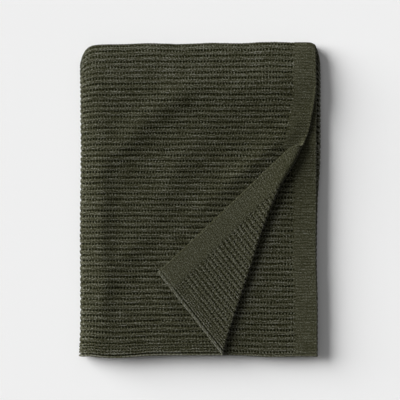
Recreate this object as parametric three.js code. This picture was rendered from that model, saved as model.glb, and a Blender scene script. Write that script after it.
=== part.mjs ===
import * as THREE from "three";

// A ribbed chenille throw, folded in half across its ribs and then in three along them.
// It lies flat with the lower right corner of its top layer turned back.
// Millimetres. X runs along the ribs, Y up the folded throw from its hems, Z up from what it lies on.

// The cloth: one knit with a plain band along each selvedge and a narrow knit hem.
const clothThickness = 4.4;
const ribPitch = 11.4;
const ribDepth = 1.5;
const bandWidth = 46;
const hemRidge = 6.5;
const hemGroove = 3;

// The folded stack. Mid-surfaces of neighbouring layers lie one layer pitch apart.
const layerPitch = 5.4;
const hemY = -324.5;
const layerLength = 645;
const topSelvedgeX = 240.5;
const leftBendX = -238.8;
const farEndX = -231;
const halfFold = layerPitch / 2;
const halfThickness = clothThickness / 2;
const pairPitch = 2 * layerPitch;
const bottomPairZ = halfFold + halfThickness;
const middlePairZ = bottomPairZ + pairPitch;
const topPairZ = middlePairZ + pairPitch;
const foldLength = Math.PI * halfFold;
const clothWidth = 2 * layerLength + foldLength;

// The right side by height above the hems: the selvedge of the second layer, and the centre line of
// the second fold below it, which bulges towards the top.
const rightSide = [
  { up: 0, selvedge: 237.5, bend: 235 },
  { up: 116, selvedge: 236.5, bend: 235 },
  { up: 200, selvedge: 233.5, bend: 233 },
  { up: 320, selvedge: 235.5, bend: 235 },
  { up: 406, selvedge: 240, bend: 240 },
  { up: 560, selvedge: 240.5, bend: 241 },
  { up: 645, selvedge: 240.5, bend: 240.5 },
];

// How far the whole left side is drawn in.
const leftSide = [
  { up: 0, shift: -2 },
  { up: 76, shift: 0.5 },
  { up: 262, shift: 0 },
  { up: 420, shift: 1.5 },
  { up: 500, shift: 1 },
  { up: 645, shift: -0.5 },
];

// The turned-back corner. For each rib: how far in from the selvedge it starts to turn, which way it
// then lies (degrees above straight back), how far round it turns, the length of cloth in the turn, and
// how much cloth is free past the turn, at most.
const cornerRows = [
  { up: 0, inset: 198, angle: 52, turn: 180, arc: 13, free: 250 },
  { up: 45, inset: 186, angle: 52, turn: 180, arc: 14, free: 220 },
  { up: 90, inset: 172, angle: 52, turn: 180, arc: 13.5, free: 200 },
  { up: 175, inset: 143.5, angle: 52, turn: 180, arc: 13, free: 150 },
  { up: 260, inset: 117, angle: 55, turn: 180, arc: 15, free: 100 },
  { up: 350, inset: 83, angle: 64, turn: 180, arc: 26, free: 45 },
  { up: 385, inset: 63.5, angle: 68, turn: 180, arc: 26, free: 32 },
  { up: 402, inset: 52, angle: 70, turn: 178, arc: 24, free: 21 },
  { up: 414, inset: 45, angle: 68, turn: 158, arc: 21, free: 14 },
  { up: 425, inset: 40.5, angle: 66, turn: 108, arc: 17, free: 8 },
  { up: 433, inset: 38.3, angle: 62, turn: 62, arc: 14, free: 5 },
  { up: 441, inset: 37, angle: 60, turn: 28, arc: 12, free: 3.5 },
  { up: 455, inset: 34.2, angle: 60, turn: 8, arc: 11, free: 3 },
  { up: 472, inset: 29.8, angle: 60, turn: 8, arc: 11, free: 3 },
  { up: 490, inset: 24.6, angle: 60, turn: 8, arc: 11, free: 3 },
  { up: 532, inset: 16.9, angle: 60, turn: 8, arc: 11, free: 3 },
  { up: 560, inset: 14.5, angle: 60, turn: 8, arc: 11, free: 3 },
];
const cornerTop = 560;
const cornerPoint = { x: -82, y: -145.7 };
const cornerEdgeAngle = 43.6;
const leastFree = 3;
const settleLength = 16;

// How far in from the selvedge the mesh columns spread where nothing is turned back.
const spreadInset = { underCorner: 215, atTopFold: 110 };

// How the folded edges drop away at the two top corners: two soft terms at the left, one at the right.
const cornerDrops = [
  { foldX: -247.6, into: 1, drop: 17.6, down: 37, across: 6.2 },
  { foldX: -247.6, into: 1, drop: 24.8, down: 79, across: 18.6 },
  { foldX: 250.8, into: -1, drop: 48, down: 75, across: 6 },
];

// Soft pulls in the top pair, as long low ridges that rise to the upper right.
const pullRidges = [
  { x: -145, y: 121, angle: 50, length: 90, width: 18, height: 2 },
  { x: -87, y: -20, angle: 56, length: 75, width: 17, height: 2 },
  { x: 60, y: 180, angle: 30, length: 80, width: 18, height: 1.4 },
  { x: -193, y: -176, angle: 80, length: 60, width: 18, height: 1.2 },
];

// How far the hems and the first fold are pushed up or down, from left to right.
const endLines = [
  { x: -240, hem: 4.5, top: 1.4 },
  { x: -224, hem: 4.2, top: 1.1 },
  { x: -207, hem: 1.6, top: -0.9 },
  { x: -166, hem: -2, top: -2.6 },
  { x: -104, hem: 2, top: -0.3 },
  { x: -42, hem: 2.8, top: -2.2 },
  { x: 20, hem: 3, top: 0.1 },
  { x: 83, hem: 2.4, top: -0.3 },
  { x: 145, hem: -1, top: 2.2 },
  { x: 207, hem: 0.2, top: 0.6 },
  { x: 240, hem: 0, top: 1.5 },
];

// The share by which the stack is pressed thinner at its left bend and first fold, and how far in.
const pressed = { left: 0.24, leftReach: 18, top: 0.16, topReach: 40 };

const radians = THREE.MathUtils.degToRad;

// A value between the rows of a table, on a smooth curve through them.
function lookUp(table, at, name, key = "up") {
  const last = table.length - 1;
  if (at <= table[0][key]) return table[0][name];
  if (at >= table[last][key]) return table[last][name];
  const i = table.findIndex((row) => row[key] > at) - 1;
  const slope = (k) => {
    const a = table[Math.max(k - 1, 0)];
    const b = table[Math.min(k + 1, last)];
    return (b[name] - a[name]) / (b[key] - a[key]);
  };
  const gap = table[i + 1][key] - table[i][key];
  const t = (at - table[i][key]) / gap;
  const rise = table[i + 1][name] - table[i][name];
  return table[i][name] + rise * t * t * (3 - 2 * t)
    + gap * (slope(i) * t * (1 - t) ** 2 - slope(i + 1) * t * t * (1 - t));
}

// Where a line across the cloth lies: how far above the hems, and how far round the first fold.
function rowPlace(across) {
  if (across <= layerLength) return { up: across, round: 0 };
  if (across >= layerLength + foldLength) return { up: clothWidth - across, round: Math.PI };
  return { up: layerLength, round: (across - layerLength) / halfFold };
}

// How far in from the selvedge the crease lies, or the columns spread where there is none.
function insetAt(row) {
  const { underCorner, atTopFold } = spreadInset;
  if (row.round > 0) {
    const down = row.round < Math.PI ? 0 : layerLength - row.up;
    return atTopFold + (underCorner - atTopFold) * THREE.MathUtils.smoothstep(down, 0, 200);
  }
  if (row.up <= cornerTop) return lookUp(cornerRows, row.up, "inset");
  const start = cornerRows[cornerRows.length - 1].inset;
  return start + (atTopFold - start) * THREE.MathUtils.smoothstep(row.up, cornerTop, layerLength);
}

// A point of the turned-back corner. It goes round the turn and then lies on the layer below.
function cornerPlace(zone, share, up, offset) {
  const angle = radians(lookUp(cornerRows, up, "angle"));
  const turn = radians(lookUp(cornerRows, up, "turn"));
  const radius = lookUp(cornerRows, up, "arc") * Math.cos(angle / 2) / turn;
  const along = { x: Math.sin(angle / 2), y: Math.cos(angle / 2) };
  const out = { x: along.y, y: -along.x };
  const start = { x: topSelvedgeX - lookUp(cornerRows, up, "inset"), y: hemY + up };
  const round = zone === "roll" ? turn * (1 - share) : turn;
  const slide = radius * round * Math.tan(angle / 2);
  const away = (radius - offset) * Math.sin(round);
  const point = {
    x: start.x + slide * along.x + away * out.x,
    y: start.y + slide * along.y + away * out.y,
    z: radius - (radius - offset) * Math.cos(round),
  };
  if (zone === "roll") return point;
  const back = { x: -Math.cos(angle), y: Math.sin(angle) };
  const edge = { x: Math.cos(radians(cornerEdgeAngle)), y: Math.sin(radians(cornerEdgeAngle)) };
  const gap = { x: cornerPoint.x - point.x, y: cornerPoint.y - point.y };
  const toEdge = (gap.x * edge.y - gap.y * edge.x) / (back.x * edge.y - back.y * edge.x);
  const free = Math.min(Math.max(toEdge, leastFree), lookUp(cornerRows, up, "free"));
  const gone = free * (1 - share);
  const lean = Math.cos(angle / 2) * Math.cos(turn);
  const settled = (1 + gone / settleLength) * Math.exp(-gone / settleLength);
  const height = radius * (1 - Math.cos(turn));
  return {
    x: point.x + gone * (Math.sin(angle / 2) * along.x + lean * out.x),
    y: point.y + gone * (Math.sin(angle / 2) * along.y + lean * out.y),
    z: point.z + gone * Math.sin(turn) * Math.cos(angle / 2) - (height - layerPitch) * (1 - settled),
  };
}

// A point of the folded stack before its unevenness: zone and share say how far along the ribs.
function stackPlace(zone, share, across, offset) {
  const row = rowPlace(across);
  const outward = halfFold + offset;
  const n = outward * Math.cos(row.round);
  const y = hemY + row.up + outward * Math.sin(row.round);
  const inset = insetAt(row);
  const bendX = lookUp(rightSide, row.up, "bend");
  const selvedgeX = row.round > 0 ? lookUp(rightSide, row.up, "selvedge") : topSelvedgeX;
  if (zone === "flap" || zone === "roll") {
    if (row.round === 0 && row.up <= cornerTop) {
      const point = cornerPlace(zone, share, row.up, offset);
      return { ...point, z: point.z + topPairZ + halfFold };
    }
    const inward = zone === "flap" ? share / 2 : (1 + share) / 2;
    return { x: selvedgeX - inset * inward, y, z: topPairZ + n };
  }
  if (zone === "field") {
    const creaseX = selvedgeX - inset;
    return { x: creaseX + (leftBendX - creaseX) * share, y, z: topPairZ + n };
  }
  if (zone === "leftBend") {
    const reach = layerPitch + n;
    return {
      x: leftBendX - reach * Math.sin(Math.PI * share),
      y,
      z: topPairZ - layerPitch + reach * Math.cos(Math.PI * share),
    };
  }
  if (zone === "middle") return { x: leftBendX + (bendX - leftBendX) * share, y, z: middlePairZ - n };
  if (zone === "rightBend") {
    const reach = layerPitch - n;
    return {
      x: bendX + reach * Math.sin(Math.PI * share),
      y,
      z: middlePairZ - layerPitch + reach * Math.cos(Math.PI * share),
    };
  }
  return { x: bendX + (farEndX - bendX) * share, y, z: bottomPairZ + n };
}

// How far the soft pulls lift the top pair at a place.
function pullLift(x, y) {
  return pullRidges.reduce((sum, ridge) => {
    const angle = radians(ridge.angle);
    const dx = x - ridge.x;
    const dy = y - ridge.y;
    const along = (dx * Math.cos(angle) + dy * Math.sin(angle)) / ridge.length;
    const beside = (dy * Math.cos(angle) - dx * Math.sin(angle)) / ridge.width;
    return sum + ridge.height * Math.exp(-along * along - beside * beside);
  }, 0);
}

// A point of the throw as it lies, with its dropped corners, wavy edges, soft pulls and pressed sides.
function clothPoint(zone, share, across, offset) {
  const { x, y, z } = stackPlace(zone, share, across, offset);
  const { up } = rowPlace(across);
  const below = layerLength - up;
  const drop = cornerDrops.reduce((sum, term) => {
    const into = Math.max((x - term.foldX) * term.into, 0);
    return sum + term.drop * Math.exp(-below / term.down - into / term.across);
  }, 0);
  const leftShare = THREE.MathUtils.clamp((topSelvedgeX - x) / (topSelvedgeX - leftBendX), 0, 1);
  const hemShift = lookUp(endLines, x, "hem", "x") * Math.exp(-up / 60);
  const topShift = lookUp(endLines, x, "top", "x") * Math.exp(-below / 60);
  const fromLeft = Math.max(x - leftBendX, 0);
  const atLeft = 1 - pressed.left * Math.exp(-fromLeft / pressed.leftReach);
  const atTop = 1 - pressed.top * Math.exp(-below / pressed.topReach);
  const lifted = THREE.MathUtils.clamp((z - topPairZ + layerPitch) / layerPitch, 0, 1);
  return [
    x + lookUp(leftSide, up, "shift") * leftShare ** 3,
    y - drop + hemShift + topShift,
    (z + pullLift(x, y) * lifted) * atLeft * atTop,
  ];
}

// Lines across one layer, up from its hem: the hem ridge and groove, then a groove and a ridge for each rib.
function ribRows(from, to) {
  const rows = [];
  const ribs = Math.floor((layerLength - hemRidge - hemGroove) / ribPitch);
  if (from === 0) rows.push({ up: hemRidge, groove: 0 }, { up: hemRidge + hemGroove / 2, groove: 1 });
  for (let i = 0; i < ribs; i += 1) {
    const foot = hemRidge + hemGroove + i * ribPitch;
    if (foot < from || foot + ribPitch > to) continue;
    rows.push({ up: foot + ribPitch / 2, groove: 0 }, { up: foot + ribPitch, groove: 1 });
  }
  return rows;
}

// Lines across a layer, or the part of it above a height, that nobody sees.
function plainRows(from) {
  const ups = [30, 130, 260, 400, 480, 532, 560, 590, 612, 632];
  return ups.filter((up) => up > from).map((up) => ({ up, groove: 0 }));
}

// Lines where the selvedges lie but the ribs don't show, close enough to follow the crease.
function underRows(top) {
  const rows = [];
  for (let up = 20; up < top; up += up > 380 && up < 460 ? 6 : 24) rows.push({ up, groove: 0 });
  return rows;
}

// All the lines across the cloth for one column: hem, top layer, first fold, second layer, hem.
function columnRows(topRows, lowerRows) {
  const ends = [{ up: 0, groove: 0 }];
  const upper = [...ends, ...topRows].map(({ up, groove }) => ({ across: up, groove }));
  const lower = [...ends, ...lowerRows].map(({ up, groove }) => ({ across: clothWidth - up, groove }));
  const fold = [0, 0.25, 0.5, 0.75, 1].map((share) => ({
    across: layerLength + foldLength * share,
    groove: 0,
  }));
  return [...upper, ...fold, ...lower.reverse()];
}

const zones = ["flap", "roll", "field", "leftBend", "middle", "rightBend", "bottom"];
const wholeRibs = ribRows(0, layerLength);
const hiddenRows = plainRows(0);

// The columns of one face. Ribs are raised only where that face shows.
const frontCorner = {
  top: [...underRows(500), ...ribRows(500, layerLength)],
  lower: [...underRows(470), ...plainRows(470)],
};
const backCorner = {
  top: [...ribRows(0, 520), ...plainRows(520)],
  lower: [...ribRows(0, 470), ...plainRows(470)],
};
const frontColumns = [
  { zone: "flap", shares: [0, 0.5], ...frontCorner },
  { zone: "roll", shares: [0, 0.25, 0.5, 0.75], ...frontCorner },
  { zone: "field", shares: [0, 0.13, 0.27, 0.41, 0.55, 0.69, 0.82, 0.92, 0.975], top: wholeRibs },
  { zone: "leftBend", shares: [0, 0.25, 0.5, 0.75], top: wholeRibs },
  { zone: "leftBend", shares: [1] },
  { zone: "middle", shares: [0.025, 0.07, 0.16, 0.5, 0.84, 0.93, 0.975] },
  { zone: "rightBend", shares: [0, 0.25, 0.5, 0.75], lower: wholeRibs },
  { zone: "rightBend", shares: [1] },
  { zone: "bottom", shares: [0.025, 0.07, 0.16, 0.5, 0.86, 0.96, 1] },
];
const backColumns = [
  { zone: "flap", shares: [0, 0.33, 0.67], ...backCorner },
  { zone: "roll", shares: [0, 0.25, 0.5, 0.75], ...backCorner },
  { zone: "field", shares: [0, 0.41, 0.82, 0.92, 0.975] },
  { zone: "leftBend", shares: [0, 0.25, 0.5, 0.75, 1] },
  { zone: "middle", shares: [0.025, 0.07, 0.16, 0.5, 0.84, 0.93, 0.975] },
  { zone: "rightBend", shares: [0, 0.25, 0.5, 0.75, 1] },
  { zone: "bottom", shares: [0.025, 0.07, 0.16, 0.5, 0.86, 0.96, 1] },
];

// How deep a groove is at a column: shallow in the plain selvedge band.
function grooveDepth(zone, share) {
  return zone === "flap" && share * spreadInset.underCorner < bandWidth ? 0.3 * ribDepth : ribDepth;
}

// One face of the cloth as columns of numbered points. The front lies outside the first fold.
function makeFace(columns, front, positions) {
  return columns.flatMap(({ zone, shares, top = hiddenRows, lower = hiddenRows }) => (
    shares.map((share) => {
      const points = columnRows(top, lower).map(({ across, groove }) => {
        const offset = halfThickness - groove * grooveDepth(zone, share);
        positions.push(...clothPoint(zone, share, across, front ? offset : -offset));
        return { at: across, index: positions.length / 3 - 1 };
      });
      return { at: zones.indexOf(zone) + share, points };
    })
  ));
}

// Triangles between two lines of points that run the same way but need not match.
function joinLines(left, right, faces, turned) {
  let i = 0;
  let j = 0;
  while (i < left.length - 1 || j < right.length - 1) {
    const stepLeft = j === right.length - 1
      || (i < left.length - 1 && left[i + 1].at - right[j].at <= right[j + 1].at - left[i].at);
    const corner = stepLeft ? left[i + 1] : right[j + 1];
    const face = [left[i].index, right[j].index, corner.index];
    faces.push(...(turned ? face.reverse() : face));
    if (stepLeft) i += 1;
    else j += 1;
  }
}

// The whole cloth: its two faces, its two hems and its two selvedges, closed.
function makeThrow() {
  const positions = [];
  const faces = [];
  const front = makeFace(frontColumns, true, positions);
  const back = makeFace(backColumns, false, positions);
  for (let i = 0; i < front.length - 1; i += 1) joinLines(front[i].points, front[i + 1].points, faces, true);
  for (let i = 0; i < back.length - 1; i += 1) joinLines(back[i].points, back[i + 1].points, faces, false);
  const edge = (face, end) => face.map(({ at, points }) => ({ at, index: points.at(end).index }));
  joinLines(edge(front, 0), edge(back, 0), faces, true);
  joinLines(edge(front, -1), edge(back, -1), faces, false);
  joinLines(front[0].points, back[0].points, faces, false);
  joinLines(front.at(-1).points, back.at(-1).points, faces, true);
  const geometry = new THREE.BufferGeometry();
  geometry.setAttribute("position", new THREE.Float32BufferAttribute(positions, 3));
  geometry.setIndex(faces);
  geometry.computeVertexNormals();
  return geometry;
}

const chenille = new THREE.MeshStandardMaterial({ color: 0x3b3b2e, roughness: 0.95, metalness: 0 });
const throwCloth = new THREE.Mesh(makeThrow(), chenille);
throwCloth.name = "throw";

const foldedThrow = new THREE.Group();
foldedThrow.add(throwCloth);

export default foldedThrow;
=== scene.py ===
import math
import bpy
import numpy as np
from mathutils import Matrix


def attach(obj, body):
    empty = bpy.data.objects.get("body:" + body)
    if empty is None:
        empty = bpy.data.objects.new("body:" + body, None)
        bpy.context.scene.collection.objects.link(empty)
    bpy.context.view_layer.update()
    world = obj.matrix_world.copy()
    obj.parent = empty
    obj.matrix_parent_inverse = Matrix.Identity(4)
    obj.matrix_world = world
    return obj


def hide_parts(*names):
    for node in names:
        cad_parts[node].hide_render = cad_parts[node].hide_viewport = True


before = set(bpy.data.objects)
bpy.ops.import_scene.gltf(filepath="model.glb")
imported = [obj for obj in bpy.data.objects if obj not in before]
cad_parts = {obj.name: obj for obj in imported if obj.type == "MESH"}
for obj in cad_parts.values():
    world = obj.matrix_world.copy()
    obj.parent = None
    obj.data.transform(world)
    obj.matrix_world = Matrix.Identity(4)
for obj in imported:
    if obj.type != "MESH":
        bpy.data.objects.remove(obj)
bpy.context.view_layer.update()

# Chenille throw, folded in half and then in three, one corner turned back.
# The cloth is worked out in millimetres, flat and then folded, and its meshes are made in metres.
mm = 0.001

cloth = {
    "thickness": 4.4,
    "ribPitch": 11.4,
    "ribDepth": 2.4,
    "stitchPitch": 6.4,
    "bendPuff": 1.1,  # how much further the ribs stand out round the left bend
    "puffShare": 0.6,  # of that on the ribs, beside all of it in the troughs
    "puffSpread": 0.7,  # of the bend's length
    "bandWidth": 46,
    "hemRidge": 4.4,
    "turnedHemRidge": 8,
    "hemGroove": 1.6,
    "outerTone": -0.05,  # the outer face's pile is a little darker
    "seed": 11,
}

# Heights in the knit as shares of the rib's depth, widths as shares of a rib
knit = {
    "level": 0.84,
    "stitchRise": 0.08,
    "patchRise": 0.1,
    "troughWidth": 0.2,
    "troughDepth": 0.4,
    "holeDepth": 0.42,
    "middleWidth": 0.1,
    "middleDepth": 0.06,
    "middlePatch": 0.08,
    "bandLineRise": 0.07,
    "bandPatchRise": 0.06,
    "bandBlend": 3,  # millimetres on either side of the band's edge
    "innerLeast": 0.1,  # the inner face's holes are this much shallower
    "most": 1.1,
}

# Random unevenness of the knit: its share, the size of its cells in millimetres, and its own seed
unevenness = {
    "sway": {"share": 0.6, "along": 60, "across": 26, "seed": 1},
    "fineSway": {"share": 0.4, "along": 17, "across": 12, "seed": 2},
    "patch": {"share": 0.6, "along": 7, "across": 4, "seed": 3},
    "fray": {"share": 1.5, "along": 30, "across": 8, "seed": 4},
    "drift": {"share": 0.25, "along": 40, "across": 6, "seed": 5},
    "finePatch": {"share": 0.6, "along": 3.2, "across": 3.4, "seed": 6},
}

# Edges of the cloth: depths and heights as shares of the rib's depth, places and widths in
# millimetres, and the shade that each gets in the color
selvedgeGroove = {"depth": 0.12, "at": 6.5, "width": 1.3, "end": 12}
selvedgeShade = {"far": 0.6, "inner": -0.5, "outer": 0.1, "start": 2.6, "end": 4.6}
hemTop = {"height": 0.88, "patchRise": 0.05, "slope": 1.2, "innerShade": 1.1, "outerShade": 1.6}
hemDip = {"depth": 0.62, "before": 0.5, "width": 1.1, "shade": -0.9, "atSelvedge": 0.5, "fade": 4}
hemSecond = {"ribs": 0.25, "width": 2.4, "shade": 0.8}

folds = {
    "layerPitch": 5.4,
    "hemY": -324.5,
    "layerLength": 645,
    "topSelvedgeX": 240.5,
    "leftBendX": -239.6,
    "farEndX": -231,
    "leftOutside": 9,  # how far the left bend goes out past leftBendX
    "topOutside": 4,  # how far the first fold goes out past the layer's length
    "endFade": 60,  # how far in from hem and fold their unevenness reaches
    "leftFade": 3,  # power by which the left side's shift dies away to the right
}

# Right side by height above the hems: selvedge of the second layer, centre line of the second fold
rightSide = [
    {"up": 0, "selvedge": 243, "bend": 233},
    {"up": 116, "selvedge": 242.5, "bend": 233},
    {"up": 200, "selvedge": 240, "bend": 231},
    {"up": 320, "selvedge": 240.5, "bend": 233},
    {"up": 406, "selvedge": 241, "bend": 238.2},
    {"up": 560, "selvedge": 241, "bend": 239},
    {"up": 645, "selvedge": 240.5, "bend": 238.7},
]

# The second fold puffs up beside the selvedge: how far, where round the bend and over what angle
rightPuff = {"out": 3.2, "at": 0.9, "spread": 0.5}

# How far the whole left side is drawn in, by height above the hems
leftSide = [
    {"up": 0, "shift": -2},
    {"up": 76, "shift": 0.5},
    {"up": 262, "shift": 0},
    {"up": 420, "shift": 1.5},
    {"up": 500, "shift": 1},
    {"up": 645, "shift": -0.5},
]

# Turned corner by height above the hem: how far in from the selvedge it starts, which way it
# lies, how far round it turns, the cloth in the turn and the most that is free past it
cornerRows = [
    {"up": 0, "inset": 198, "angle": 52, "turn": 180, "arc": 10, "free": 250},
    {"up": 45, "inset": 186, "angle": 52, "turn": 180, "arc": 10.5, "free": 220},
    {"up": 90, "inset": 172, "angle": 52, "turn": 180, "arc": 10.5, "free": 200},
    {"up": 175, "inset": 143.5, "angle": 52, "turn": 180, "arc": 11, "free": 150},
    {"up": 260, "inset": 117, "angle": 55, "turn": 180, "arc": 13, "free": 100},
    {"up": 350, "inset": 83, "angle": 64, "turn": 180, "arc": 19, "free": 45},
    {"up": 385, "inset": 63.5, "angle": 68, "turn": 180, "arc": 21, "free": 32},
    {"up": 402, "inset": 53.5, "angle": 70, "turn": 180, "arc": 20.5, "free": 22},
    {"up": 414, "inset": 47, "angle": 66, "turn": 178, "arc": 18, "free": 15},
    {"up": 425, "inset": 41.3, "angle": 60, "turn": 160, "arc": 15.5, "free": 8},
    {"up": 433, "inset": 38, "angle": 58, "turn": 108, "arc": 12, "free": 3},
    {"up": 441, "inset": 38.8, "angle": 58, "turn": 42, "arc": 11, "free": 3},
    {"up": 455, "inset": 33.7, "angle": 60, "turn": 8, "arc": 11, "free": 3},
    {"up": 472, "inset": 28, "angle": 60, "turn": 8, "arc": 11, "free": 3},
    {"up": 490, "inset": 24.6, "angle": 60, "turn": 8, "arc": 11, "free": 3},
    {"up": 532, "inset": 16.9, "angle": 60, "turn": 8, "arc": 11, "free": 3},
    {"up": 560, "inset": 14, "angle": 60, "turn": 8, "arc": 11, "free": 3},
]

# Its tip, the direction of its upper edge, the height where it ends, the least cloth that is free
# past the turn, and the length over which this settles onto the layer below
corner = {"x": -82, "y": -145.7, "edgeAngle": 43.6, "top": 560, "leastFree": 3, "settle": 16}

# Rounding of the stack's upper corners, from the side at foldX inwards and from the fold down
cornerDrops = [
    {"foldX": -248.4, "into": 1, "drop": 17.6, "down": 37, "across": 6.2},
    {"foldX": -248.4, "into": 1, "drop": 24.8, "down": 79, "across": 18.6},
    {"foldX": 250.8, "into": -1, "drop": 48, "down": 75, "across": 6},
]

# Soft ridges and troughs in the top layers: centre, direction, half length, half width, height
creases = [
    {"x": -46, "y": 213, "angle": 31, "length": 60, "width": 28, "height": 4.6},
    {"x": -141, "y": 132, "angle": 46, "length": 85, "width": 26, "height": 4.4},
    {"x": -204, "y": -70, "angle": 90, "length": 190, "width": 20, "height": 4.2},
    {"x": -50, "y": 56, "angle": 59, "length": 115, "width": 34, "height": 3.6},
    {"x": -146, "y": -108, "angle": 52, "length": 50, "width": 24, "height": 2.6},
    {"x": 104, "y": 72, "angle": 41, "length": 130, "width": 20, "height": 4.6},
    {"x": 120, "y": 235, "angle": 4, "length": 120, "width": 38, "height": 5},
    {"x": -192, "y": -172, "angle": 78, "length": 45, "width": 16, "height": 2},
    {"x": -70, "y": -218, "angle": 125, "length": 55, "width": 17, "height": 3.2},
]

# Painted light and shade: places painted paler or darker, such as the lit band along the first fold, the
# lightened shadow beside the turned corner's crease and the lit second fold at the right
paintedShading = [
    {"x": 0, "y": 275, "angle": 0, "length": 400, "width": 42, "tone": 0.19},
    {"x": -150, "y": 285, "angle": 0, "length": 150, "width": 40, "tone": 0.07},
    {"x": 150, "y": 150, "angle": 20, "length": 110, "width": 45, "tone": -0.14},
    {"x": 225, "y": -190, "angle": 90, "length": 160, "width": 18, "tone": 0.06},
    {"x": 170, "y": 64, "angle": 48, "length": 50, "width": 18, "tone": -0.24},
    {"x": 112, "y": -165, "angle": 68, "length": 160, "width": 11, "tone": 0.38},
    {"x": 214, "y": 5, "angle": 90, "length": 95, "width": 20, "tone": -0.14},
    {"x": 130, "y": 5, "angle": 58, "length": 50, "width": 14, "tone": -0.1},
    {"x": -90, "y": -314, "angle": 0, "length": 200, "width": 6, "tone": 0.14},
    {"x": 248, "y": 200, "angle": 90, "length": 260, "width": 5, "tone": 1.3},
    {"x": -238, "y": 0, "angle": 90, "length": 700, "width": 7, "tone": 0.12},
    {"x": 0, "y": 313, "angle": 0, "length": 500, "width": 6, "tone": 0.22},
]

# Share by which the stack is pressed down at its left bend and at its first fold, and how far in
pressedDown = [
    {"side": "left", "share": 0.42, "reach": 20},
    {"side": "top", "share": 0.17, "reach": 60},
    {"side": "top", "share": 0.16, "reach": 13},
]

# Unevenness of the hems and of the first fold, from left to right
endLines = [
    {"x": -240, "hem": 0, "top": 3.1},
    {"x": -224, "hem": 0.8, "top": 2.7},
    {"x": -207, "hem": -1.2, "top": 0.7},
    {"x": -166, "hem": -2.4, "top": -1.1},
    {"x": -104, "hem": 2, "top": 1},
    {"x": -42, "hem": 2.8, "top": -0.9},
    {"x": 20, "hem": 3, "top": 1.4},
    {"x": 83, "hem": 2.4, "top": 1},
    {"x": 145, "hem": -1, "top": 3.5},
    {"x": 207, "hem": 0.2, "top": 1.9},
    {"x": 240, "hem": 0, "top": 2.8},
]

halfFold = folds["layerPitch"] / 2
halfThick = cloth["thickness"] / 2
foldLength = math.pi * halfFold
bendLength = math.pi * folds["layerPitch"]
pairPitch = 2 * folds["layerPitch"]
bottomPairZ = halfFold + halfThick
middlePairZ = bottomPairZ + pairPitch
topPairZ = middlePairZ + pairPitch
hemY = folds["hemY"]
layerLength = folds["layerLength"]
leftBendX = folds["leftBendX"]
panelWidth = folds["topSelvedgeX"] - leftBendX
clothWidth = 2 * layerLength + foldLength
foldEnd = layerLength + foldLength
bendEnd = panelWidth + bendLength
farSelvedge = 3 * panelWidth + 2 * bendLength


# Value between the rows of a table, on a smooth curve through them. The table goes by x or by up
def lookUp(table, name, up):
    ups = np.array([row["x" if "x" in row else "up"] for row in table], float)
    values = np.array([row[name] for row in table], float)
    slopes = np.empty(len(ups))
    slopes[1:-1] = (values[2:] - values[:-2]) / (ups[2:] - ups[:-2])
    slopes[0] = (values[1] - values[0]) / (ups[1] - ups[0])
    slopes[-1] = (values[-1] - values[-2]) / (ups[-1] - ups[-2])
    up = np.clip(up, ups[0], ups[-1])
    i = np.clip(np.searchsorted(ups, up, side="right") - 1, 0, len(ups) - 2)
    gap = ups[i + 1] - ups[i]
    t = (up - ups[i]) / gap
    rise = values[i + 1] - values[i]
    return values[i] + rise * t * t * (3 - 2 * t) + gap * (
        slopes[i] * t * (1 - t) ** 2 - slopes[i + 1] * t * t * (1 - t))


# Height above the hems of a line across the cloth, and how far round the first fold it is
def rowPlace(across):
    foldAngle = np.clip((across - layerLength) / halfFold, 0, math.pi)
    pastFold = np.where(foldAngle < math.pi, layerLength, clothWidth - across)
    return np.where(across <= layerLength, across, pastFold), foldAngle


# Free cloth past the turn of the corner, from its turned end to the corner's upper edge
def freeLength(up):
    angle = np.radians(lookUp(cornerRows, "angle", up))
    turn = np.radians(lookUp(cornerRows, "turn", up))
    radius = lookUp(cornerRows, "arc", up) * np.cos(angle / 2) / turn
    startX = folds["topSelvedgeX"] - lookUp(cornerRows, "inset", up)
    alongX, alongY = np.sin(angle / 2), np.cos(angle / 2)
    slide = radius * turn * np.tan(angle / 2)
    away = radius * np.sin(turn)
    x = startX + slide * alongX + away * alongY
    y = hemY + up + slide * alongY - away * alongX
    backX, backY = -np.cos(angle), np.sin(angle)
    edgeAngle = math.radians(corner["edgeAngle"])
    edgeX, edgeY = math.cos(edgeAngle), math.sin(edgeAngle)
    toEdge = ((corner["x"] - x) * edgeY - (corner["y"] - y) * edgeX) / (backX * edgeY - backY * edgeX)
    return np.minimum(np.maximum(toEdge, corner["leastFree"]), lookUp(cornerRows, "free", up))


# Place of a point of the turned corner: along is the cloth from its selvedge
def cornerPlace(along, up, offset):
    angle = np.radians(lookUp(cornerRows, "angle", up))
    turn = np.radians(lookUp(cornerRows, "turn", up))
    arc = lookUp(cornerRows, "arc", up)
    radius = arc * np.cos(angle / 2) / turn
    free = freeLength(up)
    swung = turn * np.clip(1 - (along - free) / arc, 0, 1)
    alongX, alongY = np.sin(angle / 2), np.cos(angle / 2)
    slide = radius * swung * np.tan(angle / 2)
    away = (radius - offset) * np.sin(swung)
    x = folds["topSelvedgeX"] - lookUp(cornerRows, "inset", up) + slide * alongX + away * alongY
    y = hemY + up + slide * alongY - away * alongX
    z = radius - (radius - offset) * np.cos(swung)
    gone = np.maximum(free - along, 0)
    lean = np.cos(angle / 2) * np.cos(turn)
    settled = (1 + gone / corner["settle"]) * np.exp(-gone / corner["settle"])
    x = x + gone * (np.sin(angle / 2) * alongX + lean * alongY)
    y = y + gone * (np.sin(angle / 2) * alongY - lean * alongX)
    z = z + gone * np.sin(turn) * np.cos(angle / 2)
    z = z - (radius * (1 - np.cos(turn)) - folds["layerPitch"]) * (1 - settled)
    return x, y, z


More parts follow.
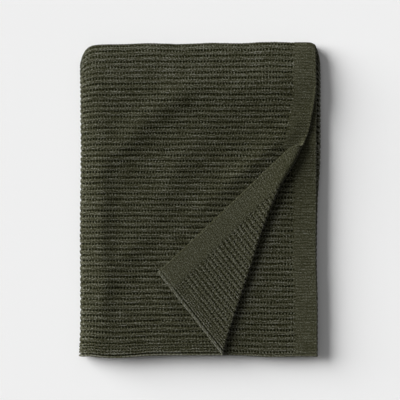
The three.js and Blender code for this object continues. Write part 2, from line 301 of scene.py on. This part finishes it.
# Sum of the long soft patches of a table at a place, by one of its columns
def softPatches(table, name, x, y):
    total = np.zeros_like(x)
    for patch in table:
        angle = math.radians(patch["angle"])
        dx, dy = x - patch["x"], y - patch["y"]
        along = (dx * math.cos(angle) + dy * math.sin(angle)) / patch["length"]
        beside = (dy * math.cos(angle) - dx * math.sin(angle)) / patch["width"]
        total = total + patch[name] * np.exp(-along * along - beside * beside)
    return total


# Place of a point of the cloth in the folded throw. along: from the selvedge at the right,
# through the left bend and the right bend; across: from the top layer's hem over the first fold
def placeCloth(along, across, offset):
    along, across, offset = np.broadcast_arrays(
        np.asarray(along, float), np.asarray(across, float), np.asarray(offset, float))
    up, foldAngle = rowPlace(across)
    reachOut = halfFold + offset
    above = reachOut * np.cos(foldAngle)
    y = hemY + up + reachOut * np.sin(foldAngle)
    bendX = lookUp(rightSide, "bend", up)
    selvedgeX = np.where(foldAngle > 0, lookUp(rightSide, "selvedge", up), folds["topSelvedgeX"])
    # the top panel, from the selvedge to the left bend
    share = along / panelWidth
    x = selvedgeX + (leftBendX - selvedgeX) * share
    z = topPairZ + above
    # its turned corner, and the rest of the lines that the corner is part of
    hasCorner = (foldAngle == 0) & (up <= corner["top"])
    inset = lookUp(cornerRows, "inset", up)
    free, arc = freeLength(up), lookUp(cornerRows, "arc", up)
    creaseX = folds["topSelvedgeX"] - inset
    rowLength = free + arc + creaseX - leftBendX
    gone = share * rowLength
    flat = hasCorner & (gone > free + arc)
    x = np.where(flat, leftBendX + rowLength - gone, x)
    turned = hasCorner & ~flat
    turnedX, turnedY, turnedZ = cornerPlace(gone, up, offset)
    x = np.where(turned, turnedX, x)
    y = np.where(turned, turnedY, y)
    z = np.where(turned, turnedZ + topPairZ + halfFold, z)
    # the left bend, the middle panel, the right bend and the bottom panel
    after = along - panelWidth
    turn = after / folds["layerPitch"]
    reach = folds["layerPitch"] + above
    inLeft = (after > 0) & (after <= bendLength)
    x = np.where(inLeft, leftBendX - reach * np.sin(turn), x)
    z = np.where(inLeft, topPairZ - folds["layerPitch"] + reach * np.cos(turn), z)
    after = after - bendLength
    inMiddle = (after > 0) & (after <= panelWidth)
    x = np.where(inMiddle, leftBendX + (bendX - leftBendX) * after / panelWidth, x)
    z = np.where(inMiddle, middlePairZ - above, z)
    after = after - panelWidth
    turn = after / folds["layerPitch"]
    puff = rightPuff["out"] * np.exp(-((turn - rightPuff["at"]) / rightPuff["spread"]) ** 2)
    reach = folds["layerPitch"] - above + puff
    inRight = (after > 0) & (after <= bendLength)
    x = np.where(inRight, bendX + reach * np.sin(turn), x)
    z = np.where(inRight, middlePairZ - folds["layerPitch"] + reach * np.cos(turn), z)
    after = after - bendLength
    inBottom = after > 0
    x = np.where(inBottom, bendX + (folds["farEndX"] - bendX) * after / panelWidth, x)
    z = np.where(inBottom, bottomPairZ + above, z)
    # the unevenness of the whole stack
    below = layerLength - up
    drop = np.zeros_like(x)
    for term in cornerDrops:
        into = np.maximum((x - term["foldX"]) * term["into"], 0)
        drop = drop + term["drop"] * np.exp(-below / term["down"] - into / term["across"])
    leftShare = np.clip((folds["topSelvedgeX"] - x) / panelWidth, 0, 1)
    lifted = np.clip((z - topPairZ + folds["layerPitch"]) / folds["layerPitch"], 0, 1)
    lift = softPatches(creases, "height", x, y) * lifted
    hemShift = lookUp(endLines, "hem", x) * np.exp(-up / folds["endFade"])
    topShift = lookUp(endLines, "top", x) * np.exp(-below / folds["endFade"])
    inwards = {
        "left": np.maximum(x - leftBendX + folds["leftOutside"], 0),
        "top": np.maximum(hemY + layerLength + folds["topOutside"] - y, 0),
    }
    press = 1
    for term in pressedDown:
        press = press * (1 - term["share"] * np.exp(-inwards[term["side"]] / term["reach"]))
    return np.stack([
        x + lookUp(leftSide, "shift", up) * leftShare ** folds["leftFade"],
        y - drop + hemShift + topShift,
        (z + lift) * press,
    ], axis=-1)


# One of the knit's random unevennesses, smooth over the cloth
def uneven(name, along, across):
    kind = unevenness[name]
    u, v = along / kind["along"], across / kind["across"]
    cells = (211, 197)
    grid = np.random.default_rng(cloth["seed"] + kind["seed"]).uniform(-1, 1, cells)
    i, j = np.floor(u).astype(int), np.floor(v).astype(int)
    s, t = u - i, v - j
    s, t = s * s * (3 - 2 * s), t * t * (3 - 2 * t)

    def at(a, b):
        return grid[np.mod(a, cells[0]), np.mod(b, cells[1])]

    value = ((at(i, j) * (1 - s) + at(i + 1, j) * s) * (1 - t)
             + (at(i, j + 1) * (1 - s) + at(i + 1, j + 1) * s) * t)
    return kind["share"] * value


# 0 up to low and 1 from high, with a soft rise between them
def smooth(value, low, high):
    t = np.clip((value - low) / (high - low), 0, 1)
    return t * t * (3 - 2 * t)


# A soft ridge: 1 in its middle, dying away over its width on either side
def ridgeAt(distance, width):
    return np.exp(-(distance / width) ** 2)


# The knit at a place: its height from 0 in the deepest holes to 1 on the ridges, which rib and
# stitch it is, how far it is plain rather than ribbed, and the shade of its edges
def knitAt(along, across, inner):
    up, foldAngle = rowPlace(across)
    turnedHem = inner & (across < layerLength)
    ridge = np.where(turnedHem, cloth["turnedHemRidge"], cloth["hemRidge"])
    foot = ridge + cloth["hemGroove"]
    sway = uneven("sway", along, across) + uneven("fineSway", along, across)
    ribs = (np.where(foldAngle > 0, across + 0.5 * cloth["ribPitch"], up) - foot + sway) / cloth["ribPitch"]
    ribs = ribs + np.clip(ribs, 0, 2)  # half as wide over the first two pitches above the hem
    stitches = along / cloth["stitchPitch"] + uneven("drift", along, across)
    phase = ribs - np.floor(ribs)
    trough = ridgeAt(np.minimum(phase, 1 - phase), knit["troughWidth"])
    middle = ridgeAt(phase - 0.5, knit["middleWidth"])
    stagger = 0.5 * np.mod(np.floor(ribs + 0.5), 2)
    stitch = np.cos(2 * math.pi * (stitches + stagger))
    dots = 0.5 + 0.5 * np.cos(2 * math.pi * stitches)
    patch = uneven("patch", along, across) + uneven("finePatch", along, across)
    height = knit["level"] + knit["stitchRise"] * stitch + knit["patchRise"] * patch
    height = height - trough * (knit["troughDepth"] + knit["holeDepth"] * dots + knit["patchRise"] * patch)
    height = height - middle * (knit["middleDepth"] + knit["middlePatch"] * patch)
    # plain band: fine lines at half the pitch
    bandEdge = along + uneven("fray", along, across)
    blend = knit["bandBlend"]
    plain = 1 - smooth(bandEdge, cloth["bandWidth"] - blend, cloth["bandWidth"] + blend)
    bandLine = np.cos(4 * math.pi * ribs)
    band = knit["level"] + knit["bandLineRise"] * bandLine + knit["bandPatchRise"] * patch
    height = height + (band - height) * plain
    # finished selvedge and hem: each a ridge with a groove beside it
    groove = selvedgeGroove["depth"] * ridgeAt(along - selvedgeGroove["at"], selvedgeGroove["width"])
    height = height - np.where(along < selvedgeGroove["end"], groove, 0)
    dip = ridgeAt(up - foot + hemDip["before"], hemDip["width"])
    second = ridgeAt(up - foot - hemSecond["ribs"] * cloth["ribPitch"], hemSecond["width"])
    height = height - hemDip["depth"] * dip * (1 - hemDip["atSelvedge"] * np.exp(-along / hemDip["fade"]))
    atHem = 1 - smooth(up, ridge - hemTop["slope"], ridge)
    height = height + (hemTop["height"] + hemTop["patchRise"] * patch - height) * atHem
    # shades: the hem on its own, elsewhere the selvedge
    face = "inner" if inner else "outer"
    nearSelvedge = 1 - smooth(along, selvedgeShade["start"], selvedgeShade["end"])
    selvedge = np.where(across > layerLength, selvedgeShade["far"], selvedgeShade[face]) * nearSelvedge
    edge = np.where(atHem > 0, hemTop[face + "Shade"] * atHem, selvedge)
    # painted shade darkens the groove beside the hem
    edge = edge + hemDip["shade"] * dip + hemSecond["shade"] * second
    if inner:
        height = knit["innerLeast"] + (1 - knit["innerLeast"]) * height
    return np.clip(height, 0, knit["most"]), ribs, stitches, np.maximum(plain, atHem), edge


# Rounding of the cloth towards an open edge
def edgeRound(distance):
    near = np.clip(distance / halfThick, 0, 1)
    return np.sqrt(np.maximum(1 - (1 - near) ** 2, 0))


# Lines of the meshes, in millimetres from a hem or a selvedge: fine where the knit shows, coarse
# where the cloth is hidden
detail = {
    "edgeAngles": (0, 25, 50, 72),  # round the cloth's edge, in degrees
    "hemRows": (2.8, 3.9, 4.7, 5.5, 6.3, 7.2, 8, 8.8),
    "ribShares": (0, 0.13, 0.32, 0.5, 0.68, 0.87),
    "foldSteps": 8,
    "firstRibRow": 9.4,
    "firstCoarseRow": 9,
    "lastGap": 0.8,  # left between the last rib row and the first fold
    "coarseStep": 30,
    "turnedStep": 24,
    "firstTurnedRow": 12,
    "stitchColumns": 3,  # to a stitch
    "coarseColumns": 40,  # to a panel
    "bendColumns": 14,
    "insideColumns": 6,
    "lastFineColumn": 222,  # of the inner faces
    "firstCoarseColumn": 226,
    "jointColumn": 1.5,  # just past the joint with the upper layers
    "cornerTop": 470,  # height up to which the crease is followed
    "cornerHeights": 95,
}
edgeSteps = [halfThick * (1 - math.cos(math.radians(a))) for a in detail["edgeAngles"]]
hemRows = edgeSteps + list(detail["hemRows"])
foldRows = [layerLength + foldLength * i / detail["foldSteps"] for i in range(detail["foldSteps"] + 1)]


def ribRows(low=detail["firstRibRow"], high=layerLength):
    foot = cloth["hemRidge"] + cloth["hemGroove"]
    count = int((layerLength - foot) / cloth["ribPitch"]) + 1
    ups = [foot + (i + share) * cloth["ribPitch"] for i in range(count) for share in detail["ribShares"]]
    return [up for up in ups if low <= up < high and up < layerLength - detail["lastGap"]]


def coarseRows(low=detail["firstCoarseRow"], high=layerLength, step=detail["coarseStep"]):
    count = max(int((high - low) / step), 1)
    return [low + (high - low) * (i + 1) / (count + 1) for i in range(count)]


# A mesh piece of the cloth from columns of its two faces. Each column is its place along the
# ribs and the lines across that it has; columns side by side may have different lines
def makePiece(name, frontColumns, backColumns):
    alongs, acrosses, sides, starts, count = [], [], [], [], 0
    for side, columns in ((1, frontColumns), (-1, backColumns)):
        for along, rows in columns:
            alongs.append(np.full(len(rows), float(along)))
            acrosses.append(np.array(rows, float))
            sides.append(np.full(len(rows), side))
            starts.append(count)
            count += len(rows)
    along, across, side = np.concatenate(alongs), np.concatenate(acrosses), np.concatenate(sides)
    foldAngle = rowPlace(across)[1]
    farHem = np.where(foldAngle >= math.pi, clothWidth - across, halfThick)
    hemDistance = np.where(foldAngle <= 0, across, farHem)
    thick = edgeRound(hemDistance) * edgeRound(along) * edgeRound(farSelvedge - along)
    outerKnit, innerKnit = knitAt(along, across, False), knitAt(along, across, True)
    height, ribs, stitches, plain, edge = (np.where(side > 0, o, i) for o, i in zip(outerKnit, innerKnit))
    # ribs puff out round the left bend
    aside = (along - panelWidth - bendLength / 2) / (cloth["puffSpread"] * bendLength)
    puff = np.exp(-aside * aside) * cloth["bendPuff"]
    pressedIn = (cloth["ribDepth"] + puff) * (1 - height)
    offset = side * thick * (halfThick - pressedIn + puff * height * cloth["puffShare"])
    # the turned corner shows this face, where the pile is rougher and the bands smoother
    turnedFace = np.where((side < 0) & (across < layerLength), 1.0, 0.0)
    points = placeCloth(along, across, offset)
    # painted light and shade of the listed places, with the outer face's darker pile
    paintedShadingAndFaceTone = softPatches(paintedShading, "tone", points[:, 0], points[:, 1])
    paintedShadingAndFaceTone = paintedShadingAndFaceTone + np.where(side > 0, cloth["outerTone"], 0)
    points = points * mm
    faces = []

    # faces between two lines of points, each with its places along the line
    def joinLines(a, aAt, b, bAt, flipped):
        i, j = 0, 0
        while i < len(a) - 1 or j < len(b) - 1:
            more = i < len(a) - 1 and j < len(b) - 1
            if more and aAt[i + 1] == bAt[j + 1] and aAt[i] == bAt[j]:
                face = [a[i], b[j], b[j + 1], a[i + 1]]
                i, j = i + 1, j + 1
            elif j == len(b) - 1 or (more and aAt[i + 1] - bAt[j] <= bAt[j + 1] - aAt[i]):
                face = [a[i], b[j], a[i + 1]]
                i += 1
            else:
                face = [a[i], b[j], b[j + 1]]
                j += 1
            faces.append(face[::-1] if flipped else face)

    # place along the ribs, point numbers and places across for each column of a face
    def lines(columns, first):
        found = []
        for k, (at, rows) in enumerate(columns):
            start = starts[first + k]
            found.append((at, list(range(start, start + len(rows))), list(rows)))
        return found

    front, back = lines(frontColumns, 0), lines(backColumns, len(frontColumns))
    for left, right in zip(front, front[1:]):
        joinLines(left[1], left[2], right[1], right[2], True)
    for left, right in zip(back, back[1:]):
        joinLines(left[1], left[2], right[1], right[2], False)
    # hems, selvedges and the hidden ends where the next piece goes on
    for end, flipped in ((0, True), (-1, False)):
        joinLines([c[1][end] for c in front], [c[0] for c in front],
                  [c[1][end] for c in back], [c[0] for c in back], flipped)
    joinLines(front[0][1], front[0][2], back[0][1], back[0][2], False)
    joinLines(front[-1][1], front[-1][2], back[-1][1], back[-1][2], True)

    mesh = bpy.data.meshes.new(name)
    mesh.from_pydata(points.tolist(), [], faces)
    mesh.update()
    uv = mesh.uv_layers.new(name="cloth")
    loopVertex = np.empty(len(mesh.loops), np.int32)
    mesh.loops.foreach_get("vertex_index", loopVertex)
    flat = np.stack([along, across], axis=-1)[loopVertex] * mm
    uv.data.foreach_set("uv", flat.astype(np.float32).ravel())
    for label, values in (
            ("edge", edge), ("paintedShadingAndFaceTone", paintedShadingAndFaceTone), ("rib", ribs), ("stitch", stitches),
            ("plain", plain), ("turned", turnedFace)):
        attribute = mesh.attributes.new(label, "FLOAT", "POINT")
        attribute.data.foreach_set("value", values.astype(np.float32))
    piece = bpy.data.objects.new(name, mesh)
    bpy.context.scene.collection.objects.link(piece)
    bpy.ops.object.select_all(action="DESELECT")
    piece.select_set(True)
    bpy.context.view_layer.objects.active = piece
    bpy.ops.object.mode_set(mode="EDIT")
    bpy.ops.mesh.select_all(action="SELECT")
    bpy.ops.mesh.remove_doubles(threshold=0.000002)  # points that fall together at the edges
    bpy.ops.object.mode_set(mode="OBJECT")
    bpy.ops.object.shade_smooth()
    mesh.materials.append(chenille)
    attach(piece, "root")
    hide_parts("throw")
    print(name, len(mesh.vertices), "points", len(mesh.polygons), "faces")
    return piece


# Chenille: soft dark olive yarn, with painted shade down in the knit's troughs, painted light and shade in
# listed places, and pile tone that varies at random.
# Sizes are in metres along and across the ribs
chenilleLook = {
    "yarnColor": (0.0489, 0.0491, 0.0293),
    "tipGrey": 1.32,  # how much faster blue grows than red and green towards the tips
    "brightest": 1.1,
    "roughness": 0.95,
    "specular": 0.05,
    "sheen": 0.2,
    "sheenRoughness": 0.32,
    "sheenTint": (0.97, 0.99, 1, 1),
    "noiseGain": 2.6,
    # painted shade: dark troughs with their stitches, and the thin dark line along each rib
    "ribShadeShare": 2.0,
    "troughStart": 0.22,
    "troughSlope": 4.5,
    "troughBlend": 0.2,
    "lineShare": 0.13,
    "lineSlope": 9,
    "dotBase": 0.7,
    "dotDepth": 0.6,
    "dotUneven": 0.5,
    "dotPatch": (0.04, 0.012),
    "ribUneven": 0.5,
    "ribLeast": 0.25,
    "patch": (0.07, 0.03),
    # the plain band's fine lines
    "bandShare": 0.95,
    "bandSlope": 5,
    "bandBase": 0.8,
    "bandPatch": (0.016, 0.007),
    # slanting stitches on hems and selvedges
    "edgeShare": 0.42,
    "slantDepth": 0.6,
    "slantAlong": 0.8,
    "slantAcross": 6,
    # tufts, streaks along the ribs, and specks
    "tuft": (0.0050, 0.0030),
    "tuftShare": 0.75,
    "streak": (0.036, 0.0023),
    "streakShare": 1.0,
    "speck": (0.0024, 0.0024),
    "speckShare": 1.45,
    "bandCalm": 0.4,
    # shares of these on the turned corner, of what they are elsewhere
    "turnedRibs": 0.8,
    "turnedBands": 0.45,
    "turnedStreaks": 0.5,
    "turnedSpecks": 1.3,
    # short fibres
    "fuzzScale": 900,
    "fuzzDetail": 3,
    "fuzzDepth": 0.0006,
    "fuzzStrength": 0.8,
    "fuzzPile": 0.5,
}


def makeChenille():
    look = chenilleLook
    material = bpy.data.materials.new("chenille")
    material.use_nodes = True
    nodes, links = material.node_tree.nodes, material.node_tree.links

    # a Math node, fed by numbers or by other nodes' outputs
    def mathNode(operation, *values):
        node = nodes.new("ShaderNodeMath")
        node.operation = operation
        for socket, value in zip(node.inputs, values):
            if isinstance(value, (int, float)):
                socket.default_value = value
            else:
                links.new(value, socket)
        return node.outputs["Value"]

    def plus(a, b):
        return mathNode("ADD", a, b)

    def minus(a, b):
        return mathNode("SUBTRACT", a, b)

    def times(a, b):
        return mathNode("MULTIPLY", a, b)

    def atLeast(a, b):
        return mathNode("MAXIMUM", a, b)

    def attribute(name):
        node = nodes.new("ShaderNodeAttribute")
        node.attribute_name = name
        return node.outputs["Fac"]

    # noise around zero, stretched to a size along and across the ribs
    def noise(size, octaves):
        stretch = nodes.new("ShaderNodeVectorMath")
        stretch.operation = "MULTIPLY"
        stretch.inputs[1].default_value = (1 / size[0], 1 / size[1], 1)
        links.new(place.outputs["UV"], stretch.inputs[0])
        node = nodes.new("ShaderNodeTexNoise")
        node.inputs["Scale"].default_value = 1
        node.inputs["Detail"].default_value = octaves
        links.new(stretch.outputs["Vector"], node.inputs["Vector"])
        return times(minus(node.outputs["Fac"], 0.5), look["noiseGain"])

    # 1 over most of the cloth and the given share on the turned corner
    def onTurned(share):
        return plus(times(attribute("turned"), share - 1), 1)

    shader = nodes["Principled BSDF"]
    shader.inputs["Roughness"].default_value = look["roughness"]
    shader.inputs["Specular IOR Level"].default_value = look["specular"]
    shader.inputs["Sheen Weight"].default_value = look["sheen"]
    shader.inputs["Sheen Roughness"].default_value = look["sheenRoughness"]
    shader.inputs["Sheen Tint"].default_value = look["sheenTint"]
    place = nodes.new("ShaderNodeUVMap")
    place.uv_map = "cloth"

    # painted shade in the knit: dark stitches between the ribs, and a thin dark line along each rib
    phase = mathNode("FRACT", attribute("rib"))
    fromMiddle = mathNode("ABSOLUTE", minus(phase, 0.5))
    slope = times(atLeast(minus(fromMiddle, look["troughStart"]), 0), look["troughSlope"])
    trough = mathNode("SMOOTH_MIN", slope, 1, look["troughBlend"])
    line = atLeast(minus(1, times(fromMiddle, look["lineSlope"])), 0)
    turn = times(attribute("stitch"), 2 * math.pi)
    dotted = plus(times(noise(look["dotPatch"], 1), look["dotUneven"]), look["dotDepth"])
    dots = plus(times(mathNode("COSINE", turn), dotted), look["dotBase"])
    # the painted shade in the troughs is stronger in some places than in others
    strong = atLeast(plus(times(noise(look["patch"], 1), look["ribUneven"]), 1), look["ribLeast"])
    holes = times(times(trough, dots), strong)
    lines = plus(holes, times(line, look["lineShare"]))
    ribbed = minus(1, attribute("plain"))
    paintedRibShade = times(times(times(lines, ribbed), -look["ribShadeShare"]), onTurned(look["turnedRibs"]))
    # the plain band has a fine line at each half rib
    halfPhase = mathNode("FRACT", times(attribute("rib"), 2))
    fromHalf = mathNode("ABSOLUTE", minus(halfPhase, 0.5))
    fineLine = atLeast(minus(1, times(fromHalf, look["bandSlope"])), 0)
    broken = atLeast(plus(noise(look["bandPatch"], 1), look["bandBase"]), 0)
    banded = atLeast(mathNode("MINIMUM", attribute("plain"), minus(1, attribute("edge"))), 0)
    banded = times(times(banded, broken), onTurned(look["turnedBands"]))
    bandTone = times(times(fineLine, banded), -look["bandShare"])
    # hems and finished selvedges are paler, with slanting stitches; the groove beside the hem gets painted
    # shade
    slantTurn = plus(times(turn, look["slantAlong"]), times(attribute("rib"), look["slantAcross"]))
    slanted = plus(times(mathNode("COSINE", slantTurn), look["slantDepth"]), 1)
    edgeTone = times(times(attribute("edge"), slanted), look["edgeShare"])
    # the listed places' painted light and shade is added to the knit's tones here
    knitTone = plus(plus(plus(paintedRibShade, bandTone), edgeTone), attribute("paintedShadingAndFaceTone"))

    # pile that leans this way and that, calmer on the plain band
    tufts = times(noise(look["tuft"], 1), look["tuftShare"])
    streaks = times(times(noise(look["streak"], 1), look["streakShare"]), onTurned(look["turnedStreaks"]))
    specks = times(times(noise(look["speck"], 0), look["speckShare"]), onTurned(look["turnedSpecks"]))
    pile = plus(plus(tufts, streaks), specks)
    calm = minus(1, times(attribute("plain"), look["bandCalm"]))
    tone = mathNode("MINIMUM", plus(knitTone, times(pile, calm)), look["brightest"])
    # the tips of the pile are greyer than the yarn down in the knit
    strength = mathNode("EXPONENT", tone)
    blueStrength = mathNode("EXPONENT", times(tone, look["tipGrey"]))
    tinted = nodes.new("ShaderNodeCombineXYZ")
    links.new(strength, tinted.inputs["X"])
    links.new(strength, tinted.inputs["Y"])
    links.new(blueStrength, tinted.inputs["Z"])
    color = nodes.new("ShaderNodeVectorMath")
    color.operation = "MULTIPLY"
    color.inputs[1].default_value = look["yarnColor"]
    links.new(tinted.outputs["Vector"], color.inputs[0])
    links.new(color.outputs["Vector"], shader.inputs["Base Color"])

    # short fibres
    fuzz = nodes.new("ShaderNodeTexNoise")
    fuzz.inputs["Scale"].default_value = look["fuzzScale"]
    fuzz.inputs["Detail"].default_value = look["fuzzDetail"]
    links.new(place.outputs["UV"], fuzz.inputs["Vector"])
    bump = nodes.new("ShaderNodeBump")
    bump.inputs["Distance"].default_value = look["fuzzDepth"]
    bump.inputs["Strength"].default_value = look["fuzzStrength"]
    links.new(plus(fuzz.outputs["Fac"], times(pile, look["fuzzPile"])), bump.inputs["Height"])
    links.new(bump.outputs["Normal"], shader.inputs["Normal"])
    print("chenille made")
    return material


chenille = makeChenille()

# Columns: the rounded selvedge, then even parts of a stitch or of a panel, then the bend
columnStep = cloth["stitchPitch"] / detail["stitchColumns"]
fineAlongs = edgeSteps + [columnStep * (i + 2) for i in range(int(panelWidth / columnStep) - 1)]
coarseAlongs = list(np.linspace(0, panelWidth, detail["coarseColumns"] + 1))[1:-1]
bendAlongs = [panelWidth + bendLength * i / detail["bendColumns"] for i in range(detail["bendColumns"] + 1)]
insideBend = [
    panelWidth + bendLength * i / detail["insideColumns"] for i in range(detail["insideColumns"] + 1)]

# Along each of these heights: where the turned corner's cloth ends, where its turn ends, and how
# far in its crease lies
cornerUps = np.linspace(0, detail["cornerTop"], detail["cornerHeights"])
cornerFree = freeLength(cornerUps)
cornerArc = lookUp(cornerRows, "arc", cornerUps)
creaseInset = lookUp(cornerRows, "inset", cornerUps)
cornerRow = cornerFree + cornerArc + folds["topSelvedgeX"] - creaseInset - leftBendX
turnEnd = (cornerFree + cornerArc) / cornerRow * panelWidth
freeEnd = cornerFree / cornerRow * panelWidth

# How far fine lines go on past the crease on each face, the least height worth splitting a column
# at, and how wide a strip at the selvedge is fine all the way up, in millimetres
overlap = {
    "frontAlong": 4,
    "frontUp": -30,
    "frontLeast": 60,
    "backAlong": -8,
    "backUp": 14,
    "backLeast": 40,
    "selvedge": 30,
}


# The greatest height at which one of those places is still at or past a column
def upWhere(places, along):
    inside = cornerUps[places >= along]
    return float(inside.max()) if len(inside) else 0.0


def upperFront(along):
    hidden = upWhere(freeEnd, along + overlap["frontAlong"]) + overlap["frontUp"]
    if hidden > overlap["frontLeast"]:
        turned = coarseRows(detail["firstTurnedRow"], hidden, detail["turnedStep"])
        return hemRows + turned + ribRows(hidden) + foldRows
    return hemRows + ribRows() + foldRows


def upperBack(along):
    shown = upWhere(turnEnd, along + overlap["backAlong"]) + overlap["backUp"]
    if shown > overlap["backLeast"]:
        return hemRows + ribRows(high=shown) + coarseRows(shown) + foldRows
    return hemRows + coarseRows() + foldRows


# The same rows from the far hem backwards
def mirrored(rows):
    return [clothWidth - row for row in reversed(rows)]


def underBack(along):
    shown = layerLength
    if along > overlap["selvedge"]:
        shown = upWhere(creaseInset, along + overlap["backAlong"]) + overlap["backUp"]
    if along > detail["lastFineColumn"]:
        return plainHalf
    return [foldEnd] + mirrored(hemRows + ribRows(high=shown) + coarseRows(shown))


plainRows = hemRows + coarseRows()
plainHalf = [foldEnd] + mirrored(plainRows)
plainWhole = plainRows + foldRows + mirrored(plainRows)
bendWhole = plainRows + foldRows + mirrored(hemRows + ribRows())

# The upper layer, with the first fold and the left bend
backAlongs = [a for a in fineAlongs if a < detail["lastFineColumn"]]
backAlongs = backAlongs + [a for a in coarseAlongs if a > detail["firstCoarseColumn"]] + insideBend
upper = makePiece(
    "throwUpper",
    [(a, upperFront(a)) for a in fineAlongs + bendAlongs],
    [(a, upperBack(a)) for a in backAlongs])

# The layer under it, whose inner face shows beside the turned corner
under = makePiece(
    "throwUnder",
    [(a, plainHalf) for a in edgeSteps + coarseAlongs + insideBend],
    [(a, underBack(a)) for a in backAlongs])

# The other four layers, with the second fold at the right
middleAlongs = [bendEnd + a for a in [0, detail["jointColumn"]] + coarseAlongs]
rightAlongs = [bendEnd + a for a in bendAlongs]
bottomAlongs = [rightAlongs[-1] + a for a in coarseAlongs] + [farSelvedge - a for a in reversed(edgeSteps)]
lower = makePiece(
    "throwLower",
    [(a, plainWhole) for a in middleAlongs] + [(a, bendWhole) for a in rightAlongs]
    + [(a, plainWhole) for a in bottomAlongs],
    [(a, plainWhole) for a in middleAlongs + rightAlongs[::2] + bottomAlongs])

# Floor, light and camera
floorLook = {"size": 8, "color": (0.86, 0.86, 0.86, 1), "roughness": 1, "specular": 0}
bpy.ops.object.select_all(action="DESELECT")
bpy.ops.mesh.primitive_plane_add(size=floorLook["size"], location=(0, 0, 0))
floor = bpy.context.object
floor.name = "floor"
floorPaint = bpy.data.materials.new("floorPaint")
floorPaint.use_nodes = True
paint = floorPaint.node_tree.nodes["Principled BSDF"]
paint.inputs["Base Color"].default_value = floorLook["color"]
paint.inputs["Roughness"].default_value = floorLook["roughness"]
paint.inputs["Specular IOR Level"].default_value = floorLook["specular"]
floor.data.materials.append(floorPaint)

# Suns that are as soft as wide boxes. Elevation, azimuth and spread are in degrees
lights = [
    {"name": "softbox", "elevation": 20, "azimuth": 157, "spread": 46, "strength": 7.3},
    {"name": "topBox", "elevation": 50, "azimuth": 95, "spread": 60, "strength": 0.3},
]
for light in lights:
    bpy.ops.object.light_add(type="SUN", location=(-1, 0.5, 2))
    sun = bpy.context.object
    sun.name = light["name"]
    sun.data.energy = light["strength"]
    sun.data.angle = math.radians(light["spread"])
    sun.rotation_euler = (0, math.radians(90 - light["elevation"]), math.radians(light["azimuth"]))

roomLight = {"color": (1, 1, 1, 1), "strength": 0.136}
world = bpy.context.scene.world or bpy.data.worlds.new("world")
bpy.context.scene.world = world
world.use_nodes = True
background = world.node_tree.nodes["Background"]
background.inputs["Color"].default_value = roomLight["color"]
background.inputs["Strength"].default_value = roomLight["strength"]
bpy.context.scene.view_settings.view_transform = "Standard"

# Straight above. The width shown is that at planeZ
view = {"widthShown": 0.828, "lens": 135, "planeZ": 0.022, "x": -0.0002, "y": 0.0}
bpy.ops.object.camera_add()
camera = bpy.context.object
camera.data.lens = view["lens"]
distance = view["widthShown"] * view["lens"] / camera.data.sensor_width
camera.location = (view["x"], view["y"], view["planeZ"] + distance)
camera.rotation_euler = (0, 0, 0)
bpy.context.scene.camera = camera
print("stage and camera made")
